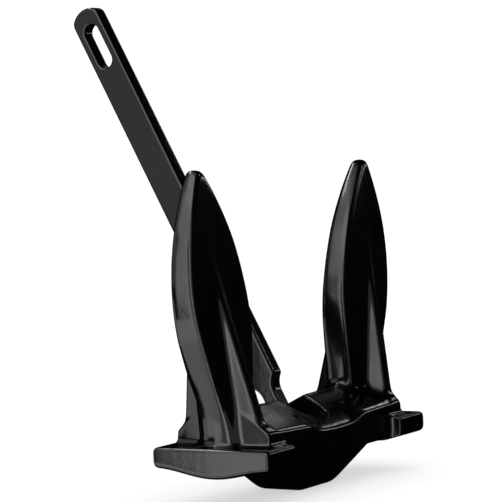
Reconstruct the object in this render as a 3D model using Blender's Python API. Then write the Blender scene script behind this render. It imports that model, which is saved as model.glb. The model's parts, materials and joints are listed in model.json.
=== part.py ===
# Stockless navy-type boat anchor: an iron head (crown, two palms and two flukes
# in one casting) and an iron shank, each dipped in vinyl. The shank swings fore
# and aft on a steel pin that drops into the underside of the crown and is held
# there by two keepers.
# Metres, +Z up. The anchor stands on the bottom of its crown. X runs from fluke
# to fluke, and the free shank leans on its stop towards +Y. The world origin is on
# the floor under the middle of the whole anchor.
import bpy
import bmesh
from math import acos, asin, cos, pi, radians, sin, sqrt, tan

MM = 0.001

# Dip coat
COAT = 1.6              # vinyl thickness
SKIN_GAP = 0.3          # between the vinyl and the iron
FIT_GAP = 0.3           # between hinge pieces and their seats

# Palms: the two bars that run fore and aft under the flukes
HALF_SPAN = 135.9       # centre to the outer face of each palm
PALM_LENGTH = 114.0
PALM_WIDTH = 44.6
PALM_TOP = 51.3
PALM_END_BOTTOM = 33.7
PALM_MID_BOTTOM = 26.6
PALM_CORNER = 5.0

# Crown: the roof-shaped saddle between the palms, with a keel below it
RIDGE_Z = 80.3
RIDGE_END_RISE = 1.9
CROWN_HALF_DEPTH = 46.5
LIP_Z = 54.1
LIP_SLOPE = 0.035       # how the lip rises towards the palms, and its step up in between
LIP_STEP = 5.6
LIP_STEP_START = 22.0
LIP_STEP_END = 52.0
CROWN_CORNER = 2.8
KEEL_HALF_LENGTH = 25.6
KEEL_HALF_DEPTH = 19.0
KEEL_TOP_HALF_LENGTH = 52.0
KEEL_RISE = 0.93        # share of the way up to the palm ends that the keel slopes reach

# Flukes
FLUKE_TOP = 285.9
FLUKE_ROOT = 38.0       # how low the blade runs inside the palm
FLUKE_EDGE = 4.6        # rounding of the blade's long edges

# Ribs: a web with a flat crest up both faces of each fluke
RIB_OFFSET = 29.6       # outer palm face to the middle of the crest, level with the palm's top
RIB_SPREAD = 0.163      # how far the rib leans outwards for each millimetre up
RIB_HALF_CREST = 4.7
RIB_SETBACK = 16.1      # palm end to the crest, level with the palm's top
RIB_TAPER = 0.196       # how far the crest falls back for each millimetre up
RIB_DRAFT = 16.0        # degrees, slope of the rib's two sides
RIB_FOOT = 4.0          # half depth at which the sides stop, inside the blade
RIB_HEIGHT = 161.0      # palm top to where the rib ends inside the blade

# Hinge
PIVOT_Z = 42.8
LEAN = 27.7             # degrees, shank resting on its stop
PIN_RADIUS = 6.0
PIN_HALF_LENGTH = 33.0
PIN_END_BEVEL = 0.8
KEEPER_HEIGHT = 14.0
KEEPER_BEVEL = 0.6

# Shank
SHANK_LENGTH = 435.9    # pivot to the corners of the top end
SHANK_CROWN_RISE = 6.6  # bulge of the rounded top end
SHANK_WIDTH = 29.3
SHANK_THICKNESS = 13.9
SHANK_EDGE = 3.0
SHOULDER_HEIGHT = 57.3  # pivot to the step under the flat bar
SHOULDER_FILLET = 16.0  # hollow below the shoulder, down into the neck
NECK_WIDTH = 15.6
BOSS_WALL = 4.0         # iron around the pin hole
BOSS_HALF_LENGTH = 17.6
BARE_FOOT = 24.7        # foot left uncoated, measured from the pivot
EYE_WIDTH = 14.2
EYE_LENGTH = 45.2
EYE_TOP_WALL = 10.0     # corner line of the top end to the eye

# Mouth of the crown
MOUTH_HALF_LENGTH = 35.1
MOUTH_HALF_WIDTH = 22.8
MOUTH_FLOOR = 58.9
THROAT_HALF_WIDTH = 19.0

IRON_INSET = COAT + SKIN_GAP
BORE_RADIUS = PIN_RADIUS + FIT_GAP
BOSS_RADIUS = BORE_RADIUS + BOSS_WALL

# Half outline of a blade. Each row is the share of the blade's height above the
# palm, the outer edge's offset outside the palm face, the inner edge's offset
# inside it and the half depth.
BLADE_ROWS = (
    (-0.06, -11.9, 52.9, 18.4),
    (0.04, -10.9, 52.9, 17.8),
    (0.10, -7.7, 53.3, 17.2),
    (0.18, -0.3, 54.1, 16.2),
    (0.25, 8.3, 55.3, 15.4),
    (0.33, 15.3, 56.5, 14.5),
    (0.40, 22.1, 57.3, 13.7),
    (0.48, 26.9, 56.6, 12.9),
    (0.57, 29.2, 52.9, 12.2),
    (0.66, 28.8, 46.8, 11.6),
    (0.75, 26.0, 38.8, 10.8),
    (0.84, 21.0, 28.0, 9.9),
    (0.91, 15.1, 17.3, 9.3),
    (0.96, 10.5, 8.5, 8.7),
    (0.99, 6.8, 2.0, 8.0),
)
TIP_ROW = (4.4, -1.0, 7.3)

# Foot of a rib, where its crest runs out onto the palm: height above the palm's top
# and how far the crest stands out beyond its straight line.
RIB_FLARE = ((-11.3, 7.0), (0.0, 9.4), (3.0, 6.0), (8.0, 2.6), (15.0, 0.4), (24.0, 0.0))


def clear_scene():
    for obj in list(bpy.data.objects):
        bpy.data.objects.remove(obj, do_unlink=True)
    for mesh in list(bpy.data.meshes):
        bpy.data.meshes.remove(mesh)


def material(name, colour, roughness, metallic):
    mat = bpy.data.materials.new(name)
    mat.use_nodes = True
    shader = mat.node_tree.nodes["Principled BSDF"]
    shader.inputs["Base Color"].default_value = (*colour, 1.0)
    shader.inputs["Roughness"].default_value = roughness
    shader.inputs["Metallic"].default_value = metallic
    mat.diffuse_color = (*colour, 1.0)
    return mat


def inset_loop(points, distance):
    # Moves every side of a counter-clockwise loop inwards by the same distance.
    if not distance:
        return list(points)
    count = len(points)
    moved = []
    for i in range(count):
        ax, ay = points[i - 1]
        bx, by = points[i]
        cx, cy = points[(i + 1) % count]
        la = sqrt((bx - ax) ** 2 + (by - ay) ** 2)
        lb = sqrt((cx - bx) ** 2 + (cy - by) ** 2)
        na = (-(by - ay) / la, (bx - ax) / la)
        nb = (-(cy - by) / lb, (cx - bx) / lb)
        share = distance / (1.0 + na[0] * nb[0] + na[1] * nb[1])
        moved.append((bx + (na[0] + nb[0]) * share, by + (na[1] + nb[1]) * share))
    return moved


def round_corners(points, radii, steps=3):
    # Replaces each corner of a loop with an arc; radius 0 keeps it sharp.
    count = len(points)
    rounded = []
    for i in range(count):
        radius = radii[i]
        px, py = points[i]
        if not radius:
            rounded.append((px, py))
            continue
        ax, ay = points[i - 1]
        bx, by = points[(i + 1) % count]
        la = sqrt((ax - px) ** 2 + (ay - py) ** 2)
        lb = sqrt((bx - px) ** 2 + (by - py) ** 2)
        ua = ((ax - px) / la, (ay - py) / la)
        ub = ((bx - px) / lb, (by - py) / lb)
        half = acos(max(-1.0, min(1.0, ua[0] * ub[0] + ua[1] * ub[1]))) / 2
        reach = min(radius / tan(half), 0.45 * la, 0.45 * lb)
        for k in range(steps + 1):
            t = k / steps
            wa = (1 - t) ** 2
            wb = t ** 2
            x = px + reach * (wa * ua[0] + wb * ub[0])
            y = py + reach * (wa * ua[1] + wb * ub[1])
            rounded.append((x, y))
    return rounded


def add_object(name, bm, mat=None, smooth=True):
    mesh = bpy.data.meshes.new(name)
    bmesh.ops.scale(bm, vec=(MM, MM, MM), verts=bm.verts)
    bmesh.ops.recalc_face_normals(bm, faces=bm.faces)
    bm.to_mesh(mesh)
    bm.free()
    obj = bpy.data.objects.new(name, mesh)
    bpy.context.scene.collection.objects.link(obj)
    if mat:
        mesh.materials.append(mat)
    if smooth:
        mesh.shade_smooth()
    return obj


def loft(name, rings, mat=None):
    # Skins a list of equal rings of 3-D points and closes both ends. The sides are
    # split along one diagonal, so nested forms keep their gap where they twist.
    bm = bmesh.new()
    loops = [[bm.verts.new(p) for p in ring] for ring in rings]
    count = len(loops[0])
    for low, high in zip(loops, loops[1:]):
        for i in range(count):
            j = (i + 1) % count
            bm.faces.new((low[i], low[j], high[j]))
            bm.faces.new((low[i], high[j], high[i]))
    bm.faces.new(list(reversed(loops[0])))
    bm.faces.new(loops[-1])
    return add_object(name, bm, mat)


def prism(name, loop, x_low, x_high, mat=None):
    # A loop in the Y-Z plane run along X.
    rings = [[(x, y, z) for y, z in loop] for x in (x_low, x_high)]
    return loft(name, rings, mat)


def tool(obj):
    obj.hide_render = True
    obj.display_type = "WIRE"
    return obj


def boolean(obj, operation, *tools):
    for other in tools:
        mod = obj.modifiers.new(operation.title() + " " + other.name, "BOOLEAN")
        mod.operation = operation
        mod.solver = "EXACT"
        mod.object = tool(other)


def crown(name, inset, mat=None):
    # Sections across the crown: ridge, rounded lips, upright faces and keel.
    reach = HALF_SPAN - PALM_WIDTH / 2
    keel_run = KEEL_TOP_HALF_LENGTH - KEEL_HALF_LENGTH
    lip_run = LIP_STEP_END - LIP_STEP_START
    stations = [0.0, 0.5 * KEEL_HALF_LENGTH, KEEL_HALF_LENGTH]
    stations += [KEEL_HALF_LENGTH + keel_run * k / 4 for k in (1, 2, 3, 4)]
    stations += [KEEL_TOP_HALF_LENGTH + (reach - KEEL_TOP_HALF_LENGTH) * k / 3 for k in (1, 2, 3)]
    rings = []
    for station in [-s for s in reversed(stations[1:])] + stations:
        x = abs(station)
        keel = KEEL_RISE * max(0.0, min(1.0, (x - KEEL_HALF_LENGTH) / keel_run))
        bottom = keel * PALM_END_BOTTOM
        depth = KEEL_HALF_DEPTH + (CROWN_HALF_DEPTH - KEEL_HALF_DEPTH) * keel
        ridge = RIDGE_Z + RIDGE_END_RISE * (x / reach) ** 2
        climb = max(0.0, min(1.0, (x - LIP_STEP_START) / lip_run))
        lip = LIP_Z + LIP_SLOPE * x + LIP_STEP * climb * climb * (3 - 2 * climb)
        skirt = PALM_END_BOTTOM + 1.0
        loop = [(-depth, bottom), (depth, bottom), (CROWN_HALF_DEPTH, skirt),
                (CROWN_HALF_DEPTH, lip), (0.0, ridge), (-CROWN_HALF_DEPTH, lip),
                (-CROWN_HALF_DEPTH, skirt)]
        radii = (CROWN_CORNER, CROWN_CORNER, CROWN_CORNER, CROWN_CORNER, 9.0,
                 CROWN_CORNER, CROWN_CORNER)
        loop = inset_loop(round_corners(loop, radii), inset)
        rings.append([(station * (reach - inset) / reach, y, z) for y, z in loop])
    return loft(name, rings, mat)


def palm(name, side, inset):
    # Sections along the palm: a bar whose underside sags towards the middle.
    rings = []
    half = PALM_LENGTH / 2
    for y, dip, trim in ((-half, 0.0, 2.0), (-half + 2.0, 0.0, 0.0), (-half / 2, 0.5, 0.0),
                         (0.0, 1.0, 0.0), (half / 2, 0.5, 0.0), (half - 2.0, 0.0, 0.0),
                         (half, 0.0, 2.0)):
        low = PALM_END_BOTTOM - dip * (PALM_END_BOTTOM - PALM_MID_BOTTOM) + trim
        high = PALM_TOP - trim
        outer = HALF_SPAN - trim
        inner = HALF_SPAN - PALM_WIDTH
        loop = [(inner, low), (outer, low), (outer, high), (inner, high + 2.0)]
        loop = round_corners(loop, (0.0, PALM_CORNER, PALM_CORNER, 0.0))
        loop = inset_loop(loop, inset)
        end = y * (half - inset) / half
        ring = [(side * x, end, z) for x, z in loop]
        rings.append(ring)
    return loft(name, rings)


def blade(name, side, inset):
    # Rings up the fluke, each a flat bar with round edges, from outer to inner edge.
    height = FLUKE_TOP - PALM_TOP
    outer = [(HALF_SPAN + row[1], PALM_TOP + row[0] * height) for row in BLADE_ROWS]
    inner = [(HALF_SPAN - row[2], PALM_TOP + row[0] * height) for row in BLADE_ROWS]
    outer[0] = (outer[0][0], FLUKE_ROOT)
    inner[0] = (inner[0][0], FLUKE_ROOT)
    tip = [(HALF_SPAN + TIP_ROW[0], FLUKE_TOP - 0.4), (HALF_SPAN - TIP_ROW[1], FLUKE_TOP - 0.6)]
    loop = inset_loop(outer + tip + inner[::-1], inset)
    count = len(BLADE_ROWS)
    pairs = list(zip(loop[:count], loop[count + 2:][::-1]))
    pairs.append((loop[count], loop[count + 1]))
    depths = [row[3] for row in BLADE_ROWS] + [TIP_ROW[2]]
    rings = []
    for (out, inn), depth in zip(pairs, depths):
        width = out[0] - inn[0]
        edge = min(FLUKE_EDGE, 0.25 * width)
        flat = depth - inset
        front = []
        for k in range(4):
            angle = pi / 6 * k
            front.append((edge * (1 - cos(angle)), flat - edge * (1 - sin(angle))))
        front += [(width - across, deep) for across, deep in reversed(front)]
        ring = []
        for turn, points in ((-1, front), (1, front[::-1])):
            for across, deep in points:
                t = across / width
                x = out[0] + (inn[0] - out[0]) * t
                z = out[1] + (inn[1] - out[1]) * t
                ring.append((side * x, turn * deep, z))
        rings.append(ring)
    return loft(name, rings)


def rib(name, side, inset):
    # Level sections of the rib: a crest fore and aft, sides that draw apart inwards.
    slope = tan(radians(RIB_DRAFT))
    rings = []
    rows = list(RIB_FLARE) + [(RIB_HEIGHT - inset, 0.0)]
    for rise, flare in rows:
        middle = HALF_SPAN - RIB_OFFSET + RIB_SPREAD * rise
        crest = PALM_LENGTH / 2 - RIB_SETBACK - RIB_TAPER * rise + flare
        foot = RIB_FOOT
        wide = RIB_HALF_CREST + (crest - foot) * slope
        corners = [(RIB_HALF_CREST, crest), (-RIB_HALF_CREST, crest), (-wide, foot), (-wide, -foot),
                   (-RIB_HALF_CREST, -crest), (RIB_HALF_CREST, -crest), (wide, -foot), (wide, foot)]
        corners = inset_loop(corners, inset)
        rings.append([(side * (middle + x), y, PALM_TOP + rise) for x, y in corners])
    return loft(name, rings)


def head_form(name, inset, mat=None):
    body = crown(name, inset, mat)
    for side, word in ((-1, "left"), (1, "right")):
        boolean(body, "UNION", palm(name + "_palm_" + word, side, inset))
        boolean(body, "UNION", blade(name + "_blade_" + word, side, inset))
        boolean(body, "UNION", rib(name + "_rib_" + word, side, inset))
    return body


def mouth(name, grow):
    # The oval funnel that opens through the roof of the crown.
    rings = []
    steps = 32
    for z, size in ((MOUTH_FLOOR - grow, 0.86), (MOUTH_FLOOR + 3.0 - grow, 0.96),
                    (RIDGE_Z + 20.0, 1.04)):
        a = MOUTH_HALF_WIDTH * size + grow
        b = MOUTH_HALF_LENGTH * size + grow
        rings.append([(a * cos(2 * pi * k / steps), b * sin(2 * pi * k / steps), z)
                      for k in range(steps)])
    return loft(name, rings)


def throat(name):
    # The bare hinge pocket: wedge for the swinging neck, round seat for the boss
    # and a straight way down and out of the keel.
    lean = radians(LEAN)
    neck = NECK_WIDTH / 2 - IRON_INSET + FIT_GAP
    seat = BOSS_RADIUS + FIT_GAP
    top = MOUTH_FLOOR + 1.0 - PIVOT_Z
    wedge = neck / cos(lean) + top * tan(lean)
    loop = [(-seat, -PIVOT_Z - 5.0), (seat, -PIVOT_Z - 5.0), (seat, 0.0)]
    meet = 0.0
    for k in range(1, 40):
        angle = radians(90.0 * k / 40)
        y = seat * cos(angle)
        z = seat * sin(angle)
        if y < neck / cos(lean) + z * tan(lean):
            break
        meet = angle
    for k in range(1, 5):
        angle = meet * k / 4
        loop.append((seat * cos(angle), seat * sin(angle)))
    loop.append((wedge, top))
    loop.extend([(-y, z) for y, z in reversed(loop[2:])])
    loop = [(y, z + PIVOT_Z) for y, z in loop]
    return prism(name, loop, -THROAT_HALF_WIDTH, THROAT_HALF_WIDTH)


def pin_slot(name):
    # Notches either side of the throat that the pin and its keepers rise into.
    reach = PIN_HALF_LENGTH + FIT_GAP
    steps = 16
    loop = [(-BORE_RADIUS, -5.0), (BORE_RADIUS, -5.0)]
    for k in range(steps + 1):
        angle = pi * k / steps
        loop.append((BORE_RADIUS * cos(angle), PIVOT_Z + BORE_RADIUS * sin(angle)))
    return prism(name, loop, -reach, reach)


def shank_loop(inset, foot):
    # Outline of the flat bar, its shoulders and its neck, about the pivot.
    half = SHANK_WIDTH / 2
    neck = NECK_WIDTH / 2
    drop = sqrt(SHOULDER_FILLET ** 2 - (SHOULDER_FILLET - half + neck) ** 2)
    right = [(neck, foot)]
    for k in range(6):
        fall = drop * (1 - k / 5)
        hollow = SHOULDER_FILLET - sqrt(SHOULDER_FILLET ** 2 - (drop - fall) ** 2)
        right.append((neck + hollow, SHOULDER_HEIGHT - fall))
    right.append((half, SHANK_LENGTH))
    arc = []
    radius = (half ** 2 + SHANK_CROWN_RISE ** 2) / (2 * SHANK_CROWN_RISE)
    sweep = 2 * asin(half / radius)
    for k in range(1, 12):
        angle = sweep / 2 - sweep * k / 12
        arc.append((radius * sin(angle),
                    SHANK_LENGTH + SHANK_CROWN_RISE - radius * (1 - cos(angle))))
    left = [(-y, z) for y, z in reversed(right)]
    loop = inset_loop(right + arc + left, inset)
    corner = max(0.5, 2.0 - inset)
    radii = [0.0] * 6 + [corner, corner]
    moved = round_corners(loop, radii + [0.0] * len(arc) + radii[::-1], 4)
    moved[0] = (moved[0][0], foot)
    moved[-1] = (moved[-1][0], foot)
    return moved


def shank_form(name, inset, foot, mat=None):
    # The bar is skinned across its thickness so that its long edges are rounded.
    half = SHANK_THICKNESS / 2 - inset
    edge = max(0.6, SHANK_EDGE - inset)
    rings = []
    for step in (0.0, 0.35, 1.0):
        drop = edge * (1 - sqrt(1 - (1 - step) ** 2))
        rings.append((-half + edge * step, drop))
    rings = rings + [(-x, drop) for x, drop in reversed(rings)]
    rows = []
    for x, drop in rings:
        rows.append([(x, y, z) for y, z in shank_loop(inset + drop, foot)])
    return loft(name, rows, mat)


def eye(name, grow):
    # Long hole through the top of the shank for a shackle.
    radius = EYE_WIDTH / 2 + grow
    centre = SHANK_LENGTH - EYE_TOP_WALL - EYE_LENGTH / 2
    straight = EYE_LENGTH / 2 - EYE_WIDTH / 2
    steps = 12
    loop = []
    for end in (0, 1):
        for k in range(steps + 1):
            angle = pi * k / steps + pi * end
            shift = straight if end == 0 else -straight
            loop.append((radius * cos(angle), centre + shift + radius * sin(angle)))
    return prism(name, loop, -SHANK_THICKNESS, SHANK_THICKNESS)


def cylinder(name, radius, x_low, x_high, sides=32, mat=None):
    loop = [(radius * cos(2 * pi * k / sides), radius * sin(2 * pi * k / sides))
            for k in range(sides)]
    return prism(name, loop, x_low, x_high, mat)


def block(name, size, centre, mat=None):
    bm = bmesh.new()
    bmesh.ops.create_cube(bm, size=1.0)
    bmesh.ops.scale(bm, vec=size, verts=bm.verts)
    bmesh.ops.translate(bm, vec=centre, verts=bm.verts)
    return add_object(name, bm, mat, smooth=False)


def bevel(obj, width, segments=2):
    mod = obj.modifiers.new("Bevel", "BEVEL")
    mod.width = width * MM
    mod.segments = segments
    mod.limit_method = "ANGLE"
    mod.angle_limit = radians(50)


clear_scene()

vinyl = material("black_vinyl", (0.012, 0.012, 0.013), 0.22, 0.0)
iron = material("cast_iron", (0.16, 0.16, 0.165), 0.62, 1.0)
steel = material("hinge_steel", (0.42, 0.42, 0.43), 0.38, 1.0)

# Head casting
head_casting = head_form("head_casting", IRON_INSET, iron)
boolean(head_casting, "DIFFERENCE", mouth("cut_mouth_iron", IRON_INSET),
        throat("cut_throat_iron"), pin_slot("cut_pin_slot_iron"))

# Vinyl on the head: the outer form less a form that clears the iron
head_void = head_form("cut_head_void", COAT)
boolean(head_void, "DIFFERENCE", mouth("cut_mouth_void", COAT))
head_coat = head_form("head_coat", 0.0, vinyl)
boolean(head_coat, "DIFFERENCE", mouth("cut_mouth_coat", 0.0), head_void,
        throat("cut_throat_coat"), pin_slot("cut_pin_slot_coat"))

# Hinge pin and the two keepers driven in under its ends
pivot_pin = cylinder("pivot_pin", PIN_RADIUS, -PIN_HALF_LENGTH, PIN_HALF_LENGTH, mat=steel)
pivot_pin.location.z = PIVOT_Z * MM
bevel(pivot_pin, PIN_END_BEVEL)
keeper_length = PIN_HALF_LENGTH - THROAT_HALF_WIDTH
keeper_top = PIVOT_Z - PIN_RADIUS - FIT_GAP
for side, word in ((-1, "left"), (1, "right")):
    keeper_size = (keeper_length, 2 * (BORE_RADIUS - FIT_GAP), KEEPER_HEIGHT)
    keeper_place = (side * (THROAT_HALF_WIDTH + keeper_length / 2), 0.0,
                    keeper_top - KEEPER_HEIGHT / 2)
    keeper = block("pin_keeper_" + word, keeper_size, keeper_place, steel)
    bevel(keeper, KEEPER_BEVEL)

# The head's centre is an empty, placed so that the whole anchor is centred
lean = radians(LEAN)
far_end = max(z * sin(lean) + y * cos(lean) for y, z in shank_loop(0.0, BARE_FOOT))
centre = bpy.data.objects.new("head_centre", None)
centre.empty_display_size = 0.03
centre.location = (0.0, (PALM_LENGTH / 2 - far_end) / 2 * MM, 0.0)
bpy.context.scene.collection.objects.link(centre)

# Shank, on an empty at the hinge
hinge = bpy.data.objects.new("shank_hinge", None)
hinge.empty_display_size = 0.03
hinge.location = (0.0, 0.0, PIVOT_Z * MM)
hinge.rotation_euler = (-lean, 0.0, 0.0)
bpy.context.scene.collection.objects.link(hinge)

shank_casting = shank_form("shank_casting", IRON_INSET, 0.0, iron)
boolean(shank_casting, "UNION",
        cylinder("add_boss", BOSS_RADIUS, -BOSS_HALF_LENGTH, BOSS_HALF_LENGTH))
boolean(shank_casting, "DIFFERENCE", eye("cut_eye_iron", IRON_INSET),
        cylinder("cut_bore", BORE_RADIUS, -2 * BOSS_HALF_LENGTH, 2 * BOSS_HALF_LENGTH))

shank_void = shank_form("cut_shank_void", COAT, BARE_FOOT - 10.0)
boolean(shank_void, "DIFFERENCE", eye("cut_eye_void", COAT))
shank_coat = shank_form("shank_coat", 0.0, BARE_FOOT, vinyl)
boolean(shank_coat, "DIFFERENCE", eye("cut_eye_coat", 0.0), shank_void)

SHANK_NAMES = ("shank_c", "cut_shank", "cut_eye", "cut_bore", "add_boss")
for obj in list(bpy.data.objects):
    if obj.name.startswith(SHANK_NAMES):
        obj.parent = hinge
    elif obj != centre:
        obj.parent = centre
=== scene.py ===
import json
from math import cos, pi, radians, sin, tan

import bpy
import numpy as np
from mathutils import Matrix, Vector


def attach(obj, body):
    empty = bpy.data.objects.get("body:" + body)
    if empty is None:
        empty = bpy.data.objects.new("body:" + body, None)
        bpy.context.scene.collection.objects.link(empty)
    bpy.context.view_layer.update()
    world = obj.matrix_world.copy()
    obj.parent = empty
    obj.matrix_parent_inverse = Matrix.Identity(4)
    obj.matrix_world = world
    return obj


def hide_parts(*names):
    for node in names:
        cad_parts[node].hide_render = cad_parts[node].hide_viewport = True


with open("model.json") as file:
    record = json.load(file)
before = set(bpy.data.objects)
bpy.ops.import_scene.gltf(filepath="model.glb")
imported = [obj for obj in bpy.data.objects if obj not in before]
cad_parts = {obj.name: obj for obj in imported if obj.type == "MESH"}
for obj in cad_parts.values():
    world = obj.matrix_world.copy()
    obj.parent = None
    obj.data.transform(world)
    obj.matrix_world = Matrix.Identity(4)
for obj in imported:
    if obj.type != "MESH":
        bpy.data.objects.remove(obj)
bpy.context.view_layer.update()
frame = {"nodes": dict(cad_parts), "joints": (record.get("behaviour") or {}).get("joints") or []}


# ---------------------------------------------------------------------------
# Head: crown, palms and flukes. One iron casting, dipped in hot plastisol, a black
# vinyl that sets as a thick glossy skin and rounds every edge and corner.
# Lengths are in millimetres, heights are above the floor, x is along the hinge.
# ---------------------------------------------------------------------------
MM = 0.001
hinge = Vector(frame["joints"][0]["pos_m"])
lean = radians(sum(frame["joints"][0]["range_deg"]) / 2)
HALF_SPAN = 135.9
PALM_HALF_LENGTH = 58.5
PALM_WIDTH = 44.6
PALM_TOP = 51.3
PALM_END_BOTTOM = 32.7
PALM_SAG = 7.6
RIDGE_Z = 80.3
RIDGE_END_RISE = 1.9
CROWN_HALF_DEPTH = 46.5
LIP_Z = 54.1
LIP_END_RISE = 5.6
LIP_FLAT = 22.0
LIP_CLIMB_END = 52.0
LIP_SLOPE = 0.035
SKIRT_RISE = 1.0
KEEL_HALF_LENGTH = 27.0
KEEL_HALF_DEPTH = 22.5
KEEL_TOP_HALF_LENGTH = 53.2
KEEL_RISE = 0.93
FLUKE_TOP = 285.9
MOUTH_HALF_LENGTH = 35.1
MOUTH_HALF_WIDTH = 22.8
MOUTH_FLOOR = 58.9
MOUTH_TAPER = 0.09
THROAT_HALF_WIDTH = 19.4
SEAT_RADIUS = 11.0
NECK_ROOM = 7.4
PIN_SLOT_RADIUS = 6.7
PIN_SLOT_HALF_LENGTH = 33.7
POCKET_OVERLAP = 3.0
KEEPER_SEAT = 20.0
BURIED_FOOT = 8.0       # how far above the palm's underside flukes and ribs begin

# Radii of the rounded edges, then of the filled inside corners.
RIDGE_RADIUS = 2.5
LIP_RADIUS = 3.4
SKIRT_RADIUS = 3.0
CROWN_BASE_RADIUS = 4.2
KEEL_BEND_RADIUS = 4.0
PALM_SIDE_RADIUS = 2.2
PALM_TOP_RADIUS = 4.0
PALM_BASE_RADIUS = 5.0
FLUKE_RIM_RADIUS = 3.0
FLUKE_TIP_RADIUS = 4.0
RIB_CREST_RADIUS = 2.6
MOUTH_RIM_RADIUS = 2.6
POCKET_RIM_RADIUS = 0.8
PALM_FILLET = 5.0
RIB_FILLET = 4.0
FLUKE_FILLET = 6.5
MOUTH_FLOOR_FILLET = 3.0

# A fluke: height above the floor, outer edge, inner edge and half depth.
FLUKE_ROWS = (
    (40, 124.0, 83.0, 18.4),
    (60, 125.0, 83.0, 17.8),
    (75, 128.2, 82.6, 17.2),
    (93, 135.6, 81.8, 16.2),
    (111, 144.2, 80.6, 15.4),
    (128, 151.2, 79.4, 14.5),
    (146, 158.0, 78.6, 13.7),
    (165, 162.8, 79.3, 12.9),
    (185, 165.1, 83.0, 12.2),
    (206, 164.7, 89.1, 11.6),
    (227, 161.9, 97.1, 10.8),
    (248, 156.9, 107.9, 9.6),
    (265, 151.0, 118.8, 8.6),
    (277, 146.2, 127.8, 7.8),
    (290, 139.6, 138.4, 6.8),
)
FLUKE_EDGE_RADIUS = 4.6
FLUKE_FOOT_RADIUS = 11.0
FLUKE_ROUNDING_TOP = 150.0      # below this the edge radius grows towards the foot's
FLUKE_ROUNDING_DROP = 80.0
RIB_CREST_HALF_WIDTH = 4.7
RIB_FOOT_Z = 68.0
RIB_FOOT_X = 109.0
RIB_LEAN = 0.163
RIB_FOOT_DEPTH = 38.8
RIB_TAPER = 0.196
RIB_DRAFT = radians(16)
RIB_CREST_SHORTENING = 0.98     # the cosine of the crest's lean


def linear(code):
    """A hex colour, as a screen shows it, turned to linear light."""
    parts = [int(code[k:k + 2], 16) / 255 for k in (1, 3, 5)]
    return tuple(c / 12.92 if c <= 0.04045 else ((c + 0.055) / 1.055) ** 2.4
                 for c in parts) + (1.0,)


def add_node(tree, kind, inputs=None, **settings):
    """Adds a node with its settings, and its inputs as values or as links."""
    made = tree.nodes.new(kind)
    for key, value in settings.items():
        setattr(made, key, value)
    for key, value in (inputs or {}).items():
        if isinstance(value, bpy.types.NodeSocket):
            tree.links.new(value, made.inputs[key])
        else:
            made.inputs[key].default_value = value
    return made


def soft_max(a, b, radius):
    """Both shapes at once, with the edge between them rounded to about that radius."""
    width = 1.75 * radius
    near = np.clip(width - np.abs(a - b), 0, None) / width
    return np.maximum(a, b) + near ** 3 * width / 6


def soft_min(a, b, radius):
    """Either shape, with the inside corner between them filled to about that radius."""
    return -soft_max(-a, -b, radius)


def smooth_rows(heights, values, fine):
    """A smooth curve through the rows, read at fine heights."""
    slopes = np.gradient(values, heights)
    k = np.clip(np.searchsorted(heights, fine) - 1, 0, len(heights) - 2)
    span = heights[k + 1] - heights[k]
    t = (fine - heights[k]) / span
    return ((2 * t ** 3 - 3 * t ** 2 + 1) * values[k]
            + (t ** 3 - 2 * t ** 2 + t) * span * slopes[k]
            + (3 * t ** 2 - 2 * t ** 3) * values[k + 1]
            + (t ** 3 - t ** 2) * span * slopes[k + 1])


rows = np.array(FLUKE_ROWS)
fine_heights = np.arange(rows[0, 0], rows[-1, 0], 0.5)
outer_edge, inner_edge, fluke_depth = (smooth_rows(rows[:, 0], rows[:, k], fine_heights)
                                       for k in (1, 2, 3))


def at_height(curve, z):
    """A fluke's edge or depth at any height."""
    return np.interp(z, fine_heights, curve)


def lean_share(curve, z):
    """How much a sloping edge shortens the distance to it."""
    return 1 / np.hypot(1, np.interp(z, fine_heights, np.gradient(curve, fine_heights)))


def crown_field(x, y, z):
    """The hull between the palms: a sloping roof, upright lips, and a keel that rises
    to meet each palm."""
    reach = HALF_SPAN - PALM_WIDTH / 2
    share = np.clip(x / reach, 0, 1.1)
    keel_run = KEEL_TOP_HALF_LENGTH - KEEL_HALF_LENGTH
    keel = soft_max(0, x - KEEL_HALF_LENGTH, KEEL_BEND_RADIUS)
    keel = KEEL_RISE * soft_min(keel, keel_run, KEEL_BEND_RADIUS) / keel_run
    bottom = keel * PALM_END_BOTTOM
    depth = KEEL_HALF_DEPTH + (CROWN_HALF_DEPTH - KEEL_HALF_DEPTH) * keel
    ridge = RIDGE_Z + RIDGE_END_RISE * share ** 2
    climb = np.clip((x - LIP_FLAT) / (LIP_CLIMB_END - LIP_FLAT), 0, 1)
    lip = LIP_Z + LIP_SLOPE * x + LIP_END_RISE * climb * climb * (3 - 2 * climb)
    skirt = PALM_END_BOTTOM + SKIRT_RISE
    across = np.hypot(y, RIDGE_RADIUS)
    fall = ridge - lip
    roof = (across * fall + (z - ridge) * CROWN_HALF_DEPTH) / np.hypot(CROWN_HALF_DEPTH, fall)
    face = np.abs(y) - CROWN_HALF_DEPTH
    in_step = CROWN_HALF_DEPTH - depth
    up_step = skirt - bottom
    slope = (face * up_step - (z - skirt) * in_step) / np.hypot(in_step, up_step)
    body = soft_max(roof, face, LIP_RADIUS)
    body = soft_max(body, slope, SKIRT_RADIUS)
    body = soft_max(body, bottom - z, CROWN_BASE_RADIUS)
    return np.maximum(body, x - reach)


def palm_field(x, y, z):
    """The bar across each end, thickest in the middle."""
    swell = 0.5 + 0.5 * np.cos(pi * np.clip(y / PALM_HALF_LENGTH, -1, 1))
    low = PALM_END_BOTTOM - PALM_SAG * swell
    body = soft_max(x - HALF_SPAN, np.abs(y) - PALM_HALF_LENGTH, PALM_SIDE_RADIUS)
    body = soft_max(body, z - PALM_TOP, PALM_TOP_RADIUS)
    body = soft_max(body, low - z, PALM_BASE_RADIUS)
    return np.maximum(body, HALF_SPAN - PALM_WIDTH - x)


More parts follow.
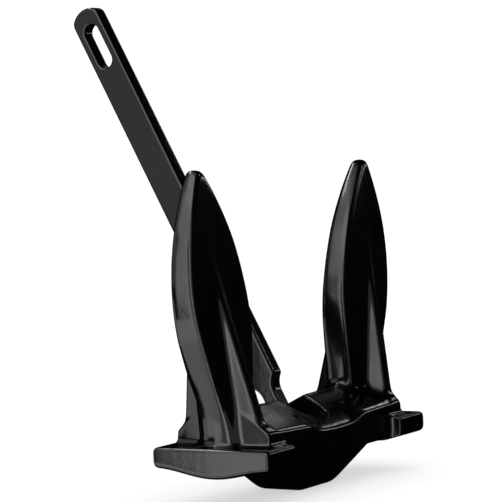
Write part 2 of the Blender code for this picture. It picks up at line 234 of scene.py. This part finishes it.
def fluke_field(x, y, z):
    """The pointed blade, with edges that get rounder towards its foot."""
    out = (x - at_height(outer_edge, z)) * lean_share(outer_edge, z)
    inn = (at_height(inner_edge, z) - x) * lean_share(inner_edge, z)
    low = np.clip((FLUKE_ROUNDING_TOP - z) / FLUKE_ROUNDING_DROP, 0, 1)
    growth = (FLUKE_FOOT_RADIUS - FLUKE_EDGE_RADIUS) * low * low * (3 - 2 * low)
    body = soft_max(out, inn, FLUKE_RIM_RADIUS)
    body = soft_max(body, z - FLUKE_TOP, FLUKE_TIP_RADIUS)
    body = soft_max(body, np.abs(y) - at_height(fluke_depth, z), FLUKE_EDGE_RADIUS + growth)
    return np.maximum(body, PALM_END_BOTTOM + BURIED_FOOT - z)


def rib_field(x, y, z):
    """The web that backs the fluke, front and rear: a draughted wall with a flat crest."""
    crest = RIB_FOOT_DEPTH - RIB_TAPER * (z - RIB_FOOT_Z)
    across = np.abs(x - RIB_FOOT_X - RIB_LEAN * (z - RIB_FOOT_Z))
    past_crest = np.abs(y) - crest
    flank = (across - RIB_CREST_HALF_WIDTH) * cos(RIB_DRAFT) + past_crest * sin(RIB_DRAFT)
    body = soft_max(flank, past_crest * RIB_CREST_SHORTENING, RIB_CREST_RADIUS)
    return np.maximum(body, PALM_END_BOTTOM + BURIED_FOOT - z)


def mouth_field(x, y, z):
    """The oval opening in the roof that the shank swings in."""
    size = 1 + MOUTH_TAPER * (z - RIDGE_Z) / (RIDGE_Z - MOUTH_FLOOR)
    a = MOUTH_HALF_WIDTH * size
    b = MOUTH_HALF_LENGTH * size
    q = np.hypot(x / a, y / b) + 1e-6
    wall = q * (q - 1) / (np.hypot(x / a ** 2, y / b ** 2) + 1e-6)
    return soft_max(wall, MOUTH_FLOOR - z, MOUTH_FLOOR_FILLET)


def pocket_field(x, y, z):
    """The bare pocket under the mouth: the neck's wedge, the boss's seat, the pin's slot."""
    up = z - hinge.z / MM
    wedge = (np.abs(y) - NECK_ROOM / cos(lean) - up * tan(lean)) * cos(lean)
    wedge = np.maximum(wedge, -up)
    round_up = np.hypot(y, np.maximum(up, 0))
    seat = np.minimum(wedge, round_up - SEAT_RADIUS)
    seat = np.maximum(seat, x - THROAT_HALF_WIDTH)
    seat = np.maximum(seat, z - MOUTH_FLOOR - POCKET_OVERLAP)
    slot = np.maximum(round_up - PIN_SLOT_RADIUS, x - PIN_SLOT_HALF_LENGTH)
    slot = np.maximum(slot, KEEPER_SEAT - z)
    return np.minimum(seat, slot)


def head_field(x, y, z):
    """The whole head: its two ends are alike, so x is taken without its sign."""
    x = np.abs(x)
    body = soft_min(crown_field(x, y, z), palm_field(x, y, z), PALM_FILLET)
    fluke = soft_min(fluke_field(x, y, z), rib_field(x, y, z), RIB_FILLET)
    body = soft_min(body, fluke, FLUKE_FILLET)
    body = soft_max(body, -mouth_field(x, y, z), MOUTH_RIM_RADIUS)
    return soft_max(body, -pocket_field(x, y, z), POCKET_RIM_RADIUS)


SLOPE_REACH = 0.05      # half the distance over which a field's slope is taken
LEAST_SLOPE = 0.05      # keeps a flat spot from throwing a point far away


def settle(field, points, limit):
    """Moves points onto the surface where the field is nought."""
    value = field(*points.T)
    slope = np.empty_like(points)
    for k in range(3):
        ahead = points.copy()
        ahead[:, k] += SLOPE_REACH
        behind = points.copy()
        behind[:, k] -= SLOPE_REACH
        slope[:, k] = (field(*ahead.T) - field(*behind.T)) / (2 * SLOPE_REACH)
    steepness = np.maximum((slope ** 2).sum(1), LEAST_SLOPE)
    move = -value[:, None] * slope / steepness[:, None]
    length = np.linalg.norm(move, axis=1, keepdims=True)
    return points + move * np.minimum(1, limit / np.maximum(length, 1e-9))


EVENING_ROUNDS = 8
EVENING_SHARE = 0.6
SETTLING_ROUNDS = 2


def skin(name, field, low, high, step, place):
    """A mesh of the surface where a field is nought: one point in each grid cell that
    it passes through, evened out along the surface and settled onto it."""
    axes = [np.arange(a, b + step, step) for a, b in zip(low, high)]
    inside = field(axes[0][:, None, None], axes[1][None, :, None], axes[2][None, None, :]) < 0
    a, b, c = (n - 1 for n in inside.shape)
    count = np.zeros((a, b, c), np.int8)
    for i, j, k in np.ndindex(2, 2, 2):
        count += inside[i:i + a, j:j + b, k:k + c]
    crossed = (count > 0) & (count < 8)
    number = np.full(crossed.shape, -1)
    number[crossed] = np.arange(crossed.sum())
    points = np.argwhere(crossed) * step + np.array(low) + step / 2
    quads = []
    for axis in range(3):
        u = np.eye(3, dtype=int)[(axis + 1) % 3]
        v = np.eye(3, dtype=int)[(axis + 2) % 3]
        first = inside.take(range(inside.shape[axis] - 1), axis)
        second = inside.take(range(1, inside.shape[axis]), axis)
        for start, here in ((True, first & ~second), (False, second & ~first)):
            at = np.argwhere(here)
            ring = [number[tuple((at - u - v).T)], number[tuple((at - v).T)],
                    number[tuple(at.T)], number[tuple((at - u).T)]]
            quads.append(np.stack(ring if start else ring[::-1], 1))
    quads = np.concatenate(quads)
    begin = quads.ravel()
    end = np.roll(quads, -1, 1).ravel()
    near = np.bincount(begin, minlength=len(points))[:, None]
    for _ in range(EVENING_ROUNDS):
        middle = np.stack([np.bincount(begin, points[end, k], len(points))
                           for k in range(3)], 1) / near
        points = settle(field, points + EVENING_SHARE * (middle - points), step)
    for _ in range(SETTLING_ROUNDS):
        points = settle(field, points, step)
    mesh = bpy.data.meshes.new(name)
    mesh.from_pydata(points * MM, [], quads.tolist())
    mesh.transform(place)
    mesh.shade_smooth()
    made = bpy.data.objects.new(name, mesh)
    bpy.context.scene.collection.objects.link(made)
    return made


def per_metre(size_mm):
    """The scale of a noise whose lumps are about this many millimetres across."""
    return 0.5 / (size_mm * MM)


SAND_GRAIN = 1.0        # mould sand is 0.2 to 0.4 mm: drawn coarser so that it shows
ORANGE_PEEL = 4.0
SAG_WIDTH = 16.0
SAG_STRETCH = 0.35      # sags run down the object, so they are longer than wide
HANDLING_MARK = 30.0


def black_vinyl(name):
    """Plastisol, dipped and oven-cured: near black, glossy, with the sand grain of the
    iron showing through, a soft orange peel, slow sags and a few dull rubbed places."""
    mat = bpy.data.materials.new(name)
    mat.use_nodes = True
    tree = mat.node_tree
    shader = tree.nodes["Principled BSDF"]
    where = add_node(tree, "ShaderNodeTexCoord").outputs["Object"]
    sand = add_node(tree, "ShaderNodeTexNoise", {
        "Vector": where, "Scale": per_metre(SAND_GRAIN), "Detail": 3.0})
    peel = add_node(tree, "ShaderNodeTexNoise", {
        "Vector": where, "Scale": per_metre(ORANGE_PEEL), "Detail": 1.0})
    runs = add_node(tree, "ShaderNodeMapping", {
        "Vector": where, "Scale": (1.0, 1.0, SAG_STRETCH)})
    sags = add_node(tree, "ShaderNodeTexNoise", {
        "Vector": runs.outputs["Vector"], "Scale": per_metre(SAG_WIDTH), "Detail": 2.0})
    cloud = add_node(tree, "ShaderNodeTexNoise", {
        "Vector": where, "Scale": per_metre(HANDLING_MARK), "Detail": 5.0, "Roughness": 0.6})
    rubbed = add_node(tree, "ShaderNodeMapRange", {
        "Value": cloud.outputs["Fac"], "From Min": 0.60, "From Max": 0.70,
        "To Min": 0.0, "To Max": 0.10})
    colour = add_node(tree, "ShaderNodeValToRGB", {"Fac": cloud.outputs["Fac"]})
    colour.color_ramp.elements[0].position = 0.35
    colour.color_ramp.elements[0].color = linear("#020202")
    colour.color_ramp.elements[1].position = 0.75
    colour.color_ramp.elements[1].color = linear("#060607")
    tree.links.new(colour.outputs["Color"], shader.inputs["Base Color"])
    gloss = add_node(tree, "ShaderNodeMapRange", {
        "Value": sags.outputs["Fac"], "From Min": 0.3, "From Max": 0.7,
        "To Min": 0.12, "To Max": 0.19})
    dull = add_node(tree, "ShaderNodeMath", {
        0: gloss.outputs["Result"], 1: rubbed.outputs["Result"]}, operation="ADD")
    tree.links.new(dull.outputs["Value"], shader.inputs["Roughness"])
    fine = add_node(tree, "ShaderNodeBump", {
        "Height": sand.outputs["Fac"], "Strength": 1.0, "Distance": 0.03 * MM})
    soft = add_node(tree, "ShaderNodeBump", {
        "Height": peel.outputs["Fac"], "Strength": 1.0, "Distance": 0.05 * MM,
        "Normal": fine.outputs["Normal"]})
    slow = add_node(tree, "ShaderNodeBump", {
        "Height": sags.outputs["Fac"], "Strength": 1.0, "Distance": 0.35 * MM,
        "Normal": soft.outputs["Normal"]})
    tree.links.new(slow.outputs["Normal"], shader.inputs["Normal"])
    shader.inputs["IOR"].default_value = 1.52
    return mat


vinyl = black_vinyl("glossy_dipped_vinyl")
HEAD_STEP = 1.5
HEAD_LOW = (-171, -62, -5)
HEAD_HIGH = (171, 62, 291)
head_middle = Matrix.Translation((hinge.x, hinge.y, 0))
head_skin = skin("head_vinyl_skin", head_field, HEAD_LOW, HEAD_HIGH, HEAD_STEP, head_middle)
head_skin.data.materials.append(vinyl)
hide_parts("head_coat")
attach(head_skin, "head")


# ---------------------------------------------------------------------------
# Shank: a flat iron bar with hollow shoulders, a rounded top and a long eye for
# the shackle. It is dipped as the head is, down to its bare foot at the hinge.
# Here s is the distance along the shank from the hinge.
# ---------------------------------------------------------------------------
SHANK_HALF_WIDTH = 15.6
SHANK_HALF_THICKNESS = 6.95
SHANK_END_RADIUS = 20.4
SHANK_TOP = 443.0
SHOULDER_HEIGHT = 57.3
NECK_HALF_WIDTH = 7.8
SHOULDER_HOLLOW = 16.0
BARE_FOOT = 24.7
EYE_HALF_WIDTH = 7.5
EYE_CENTRE = 405.0
EYE_STRAIGHT = 14.5
BAR_END_RADIUS = 2.5
BAR_EDGE_RADIUS = 2.4
SHOULDER_RADIUS = 1.6
COAT_END_RADIUS = 0.8
SHOULDER_REACH = 4.0
FAR_INSIDE = -20.0


def shank_field(x, y, s):
    """The bar and its rounded end, less the shoulder hollows, the eye and the foot."""
    past_end = np.maximum(s - (SHANK_TOP - SHANK_END_RADIUS), 0)
    end = np.hypot(y, past_end) - SHANK_END_RADIUS
    bar = soft_max(np.abs(y) - SHANK_HALF_WIDTH, end, BAR_END_RADIUS)
    hollow_y = NECK_HALF_WIDTH + SHOULDER_HOLLOW
    hollow_s = SHOULDER_HEIGHT - np.sqrt(SHOULDER_HOLLOW ** 2 - (hollow_y - SHANK_HALF_WIDTH) ** 2)
    hollow = SHOULDER_HOLLOW - np.hypot(np.abs(y) - hollow_y, np.maximum(s - hollow_s, 0))
    hollow = np.where(s < SHOULDER_HEIGHT + SHOULDER_REACH, hollow, FAR_INSIDE)
    outline = soft_max(bar, hollow, SHOULDER_RADIUS)
    past_eye = np.maximum(np.abs(s - EYE_CENTRE) - EYE_STRAIGHT, 0)
    slot = np.hypot(y, past_eye) - EYE_HALF_WIDTH
    body = soft_max(outline, np.abs(x) - SHANK_HALF_THICKNESS, BAR_EDGE_RADIUS)
    body = soft_max(body, -slot, BAR_EDGE_RADIUS)
    return soft_max(body, BARE_FOOT - s, COAT_END_RADIUS)


SHANK_STEP = 0.9
SHANK_LOW = (-9, -18, 22)
SHANK_HIGH = (9, 18, 446)
shank_place = Matrix.Translation(hinge) @ Matrix.Rotation(-lean, 4, "X")
shank_skin = skin("shank_vinyl_skin", shank_field, SHANK_LOW, SHANK_HIGH, SHANK_STEP, shank_place)
shank_skin.data.materials.append(vinyl)
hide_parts("shank_coat")
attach(shank_skin, "shank")


# ---------------------------------------------------------------------------
# The castings inside the skins, bare only in the hinge pocket and at the foot of
# the shank: grey iron, with the grain of the sand it was poured in.
# ---------------------------------------------------------------------------
IRON_GRAIN = 0.556      # mould sand, drawn a little coarser than it is
RUST_PATCH = 8.33


def cast_iron(name):
    """Sand-cast grey iron: dark, dull and grainy, with a little rust in the hollows."""
    mat = bpy.data.materials.new(name)
    mat.use_nodes = True
    tree = mat.node_tree
    shader = tree.nodes["Principled BSDF"]
    where = add_node(tree, "ShaderNodeTexCoord").outputs["Object"]
    grain = add_node(tree, "ShaderNodeTexNoise", {
        "Vector": where, "Scale": per_metre(IRON_GRAIN), "Detail": 5.0})
    patch = add_node(tree, "ShaderNodeTexNoise", {
        "Vector": where, "Scale": per_metre(RUST_PATCH), "Detail": 6.0})
    colour = add_node(tree, "ShaderNodeValToRGB", {"Fac": patch.outputs["Fac"]})
    colour.color_ramp.elements[0].position = 0.4
    colour.color_ramp.elements[0].color = linear("#4a4a4c")
    colour.color_ramp.elements[1].position = 0.72
    colour.color_ramp.elements[1].color = linear("#5a4438")
    tree.links.new(colour.outputs["Color"], shader.inputs["Base Color"])
    shader.inputs["Metallic"].default_value = 1.0
    dull = add_node(tree, "ShaderNodeMapRange", {
        "Value": patch.outputs["Fac"], "From Min": 0.3, "From Max": 0.7,
        "To Min": 0.5, "To Max": 0.75})
    tree.links.new(dull.outputs["Result"], shader.inputs["Roughness"])
    bump = add_node(tree, "ShaderNodeBump", {
        "Height": grain.outputs["Fac"], "Strength": 0.8, "Distance": 0.2 * MM})
    tree.links.new(bump.outputs["Normal"], shader.inputs["Normal"])
    return mat


iron = cast_iron("sand_cast_grey_iron")
for name in ("head_casting", "shank_casting"):
    casting = frame["nodes"][name]
    casting.data.materials.clear()
    casting.data.materials.append(iron)


# ---------------------------------------------------------------------------
# Hinge pin and its two keepers: mild steel, cut from drawn bar and driven in.
# ---------------------------------------------------------------------------
DRAW_LINE_LENGTH = 8.33
DRAW_LINE_WIDTH = 0.2
FILM_PATCH = 4.17


def drawn_steel(name):
    """Drawn mild steel: bright under a thin brown film, with fine lines along the bar."""
    mat = bpy.data.materials.new(name)
    mat.use_nodes = True
    tree = mat.node_tree
    shader = tree.nodes["Principled BSDF"]
    where = add_node(tree, "ShaderNodeTexCoord").outputs["Object"]
    along = per_metre(DRAW_LINE_LENGTH)
    across = per_metre(DRAW_LINE_WIDTH)
    stretched = add_node(tree, "ShaderNodeMapping", {
        "Vector": where, "Scale": (along, across, across)})
    lines = add_node(tree, "ShaderNodeTexNoise", {
        "Vector": stretched.outputs["Vector"], "Scale": 1.0, "Detail": 3.0})
    film = add_node(tree, "ShaderNodeTexNoise", {
        "Vector": where, "Scale": per_metre(FILM_PATCH), "Detail": 5.0})
    colour = add_node(tree, "ShaderNodeValToRGB", {"Fac": film.outputs["Fac"]})
    colour.color_ramp.elements[0].position = 0.45
    colour.color_ramp.elements[0].color = linear("#9a9a9c")
    colour.color_ramp.elements[1].position = 0.8
    colour.color_ramp.elements[1].color = linear("#7a6858")
    tree.links.new(colour.outputs["Color"], shader.inputs["Base Color"])
    shader.inputs["Metallic"].default_value = 1.0
    dull = add_node(tree, "ShaderNodeMapRange", {
        "Value": lines.outputs["Fac"], "From Min": 0.3, "From Max": 0.7,
        "To Min": 0.3, "To Max": 0.5})
    tree.links.new(dull.outputs["Result"], shader.inputs["Roughness"])
    bump = add_node(tree, "ShaderNodeBump", {
        "Height": lines.outputs["Fac"], "Strength": 0.5, "Distance": 0.04 * MM})
    tree.links.new(bump.outputs["Normal"], shader.inputs["Normal"])
    return mat


steel = drawn_steel("drawn_mild_steel")
for name in ("pivot_pin", "pin_keeper_left", "pin_keeper_right"):
    bright = frame["nodes"][name]
    bright.data.materials.clear()
    bright.data.materials.append(steel)


# ---------------------------------------------------------------------------
# Studio: a white floor that glows like a light table, in white air that the vinyl
# doesn't mirror. Only the soft boxes show in its gloss: broad ones to the left, and
# narrow strips for the bright lines. The far right is nearly dark and stays black.
# ---------------------------------------------------------------------------
FLOOR_MOTTLE = 12.5
FLOOR_GLOW = 0.55


def pale_floor(name):
    """Matt white acrylic, lit from within, with no shine of its own."""
    mat = bpy.data.materials.new(name)
    mat.use_nodes = True
    tree = mat.node_tree
    shader = tree.nodes["Principled BSDF"]
    where = add_node(tree, "ShaderNodeTexCoord").outputs["Object"]
    speck = add_node(tree, "ShaderNodeTexNoise", {
        "Vector": where, "Scale": per_metre(FLOOR_MOTTLE), "Detail": 3.0})
    colour = add_node(tree, "ShaderNodeValToRGB", {"Fac": speck.outputs["Fac"]})
    colour.color_ramp.elements[0].color = linear("#b9b9b9")
    colour.color_ramp.elements[1].color = linear("#bfbfbf")
    tree.links.new(colour.outputs["Color"], shader.inputs["Base Color"])
    shader.inputs["Roughness"].default_value = 0.9
    shader.inputs["Specular IOR Level"].default_value = 0.0
    shader.inputs["Emission Color"].default_value = linear("#ffffff")
    shader.inputs["Emission Strength"].default_value = FLOOR_GLOW
    return mat


FLOOR_RADIUS = 30.0
FLOOR_SIDES = 96
FLOOR_Z = -0.2 * MM
rim = [(FLOOR_RADIUS * cos(2 * pi * k / FLOOR_SIDES),
        FLOOR_RADIUS * sin(2 * pi * k / FLOOR_SIDES), FLOOR_Z) for k in range(FLOOR_SIDES)]
floor_mesh = bpy.data.meshes.new("studio_floor")
floor_mesh.from_pydata(rim, [], [list(range(FLOOR_SIDES))])
floor = bpy.data.objects.new("studio_floor", floor_mesh)
bpy.context.scene.collection.objects.link(floor)
floor_mesh.materials.append(pale_floor("matt_white_floor"))
floor.visible_glossy = False
floor.visible_shadow = False

AIR_WHITE = 1.08
world = bpy.data.worlds.new("studio_air")
bpy.context.scene.world = world
world.use_nodes = True
air = world.node_tree.nodes["Background"]
ray = add_node(world.node_tree, "ShaderNodeLightPath")
shade = add_node(world.node_tree, "ShaderNodeMixRGB", {
    "Fac": ray.outputs["Is Glossy Ray"], "Color1": (AIR_WHITE, AIR_WHITE, AIR_WHITE, 1.0),
    "Color2": linear("#020202")})
world.node_tree.links.new(shade.outputs["Color"], air.inputs["Color"])


def area_light(name, place, aim, size, watts, colour):
    """A panel that shows only in reflections: no camera sees it, and it lights nothing matt."""
    lamp = bpy.data.lights.new(name, "AREA")
    lamp.shape = "RECTANGLE"
    lamp.size, lamp.size_y = size
    lamp.energy = watts
    lamp.color = linear(colour)[:3]
    held = bpy.data.objects.new(name, lamp)
    held.location = place
    held.rotation_euler = (Vector(aim) - Vector(place)).to_track_quat("-Z", "Y").to_euler()
    held.visible_camera = False
    held.visible_diffuse = False
    bpy.context.scene.collection.objects.link(held)


HEAD = Vector((0.0, -0.08, 0.05))


def soft_box(name, toward, distance, across, high, glow, colour="#ffffff"):
    """A panel square to a line from the head: its span across, its span up, its radiance."""
    ray = Vector(toward).normalized()
    side = ray.cross(Vector((0, 0, 1))).normalized()
    rise = side.cross(ray)
    middle = HEAD + ray * distance + side * sum(across) / 2 + rise * sum(high) / 2
    size = (across[1] - across[0], high[1] - high[0])
    area_light(name, middle, middle - ray, size, glow * pi * size[0] * size[1], colour)


# The wall of panels on the left: span across, span up, radiance and colour.
LEFT = (-0.84, 0.54, 0)
LEFT_DISTANCE = 1.1
LEFT_PANELS = (
    ("left_main", (-0.30, -0.01), (-0.6, 0.5), 2.5, "#fffaff"),
    ("left_turn", (-0.70, -0.30), (-1.9, 0.5), 0.7, "#fffaff"),
    ("left_front", (-1.10, -0.70), (-1.9, 0.5), 3.3, "#fffaff"),
    ("left_low", (-0.30, 0.50), (-1.9, -0.6), 1.5, "#fffaff"),
    ("left_lap", (-0.01, 0.32), (-0.6, -0.28), 2.0, "#fffaff"),
    ("left_rear", (0.32, 1.00), (-0.6, -0.06), 1.2, "#fffaff"),
    ("left_top", (-1.10, 0.12), (0.5, 1.7), 2.2, "#fffaff"),
    ("left_dim", (0.05, 0.60), (0.06, 0.42), 0.66, "#fdfcff"),
    ("left_high", (0.12, 0.80), (0.42, 1.9), 0.6, "#fdfcff"),
    ("left_streak", (0.40, 0.47), (0.35, 1.3), 16, "#ffffff"),
)
for name, across, high, glow, colour in LEFT_PANELS:
    soft_box(name, LEFT, LEFT_DISTANCE, across, high, glow, colour)
soft_box("camera_side", (-0.93, -0.36, 0), 1.2, (-0.5, 0.34), (-1.0, 0.8), 0.4, "#fffaff")
soft_box("overhead", (-0.6, 0.3, 0.9), 1.3, (-0.5, 0.5), (-0.4, 0.5), 0.9, "#fffaff")
soft_box("far_right_glow", (0.84, 0.30, 0.52), 1.6, (-0.5, 0.5), (-0.4, 0.4), 0.14, "#ffffff")
soft_box("low_right_strip", (0.84, -0.47, 0.32), 1.4, (-0.3, 0.3), (-0.03, 0.03), 5)
soft_box("high_right_strip", (0.84, 0.10, 0.53), 1.4, (-0.3, 0.3), (-0.04, 0.04), 3)
soft_box("rear_strip", (-0.03, 0.54, 0.82), 1.4, (-0.3, 0.3), (-0.05, 0.05), 14)
soft_box("front_strip", (0.4, -0.7, 0.6), 1.4, (-0.15, 0.15), (-0.03, 0.03), 10)


# ---------------------------------------------------------------------------
# Camera: a long lens, a little above the floor, off the left end of the head.
# ---------------------------------------------------------------------------
CAMERA_AZIMUTH = -57.419
CAMERA_ELEVATION = 2.802
CAMERA_ROLL = -2.712
CAMERA_DISTANCE = 1.9660
CAMERA_AIM = Vector((-0.05665, hinge.y - 0.0004, 0.21275))
CAMERA_LENS = 163.33

azimuth = radians(CAMERA_AZIMUTH)
elevation = radians(CAMERA_ELEVATION)
roll = radians(CAMERA_ROLL)
back = Vector((sin(azimuth) * cos(elevation), -cos(azimuth) * cos(elevation), sin(elevation)))
right = Vector((cos(azimuth), sin(azimuth), 0))
up = back.cross(right)
turned_right = right * cos(roll) + up * sin(roll)
turned_up = up * cos(roll) - right * sin(roll)
camera_data = bpy.data.cameras.new("camera")
camera_data.lens = CAMERA_LENS
camera_data.sensor_width = 36.0
camera_data.clip_start = 0.01
camera_data.clip_end = 100.0
camera = bpy.data.objects.new("camera", camera_data)
camera.matrix_world = (Matrix.Translation(CAMERA_AIM + back * CAMERA_DISTANCE)
                       @ Matrix((turned_right, turned_up, back)).transposed().to_4x4())
bpy.context.scene.collection.objects.link(camera)
bpy.context.scene.camera = camera
bpy.context.scene.view_settings.view_transform = "Standard"

bpy.context.view_layer.update()
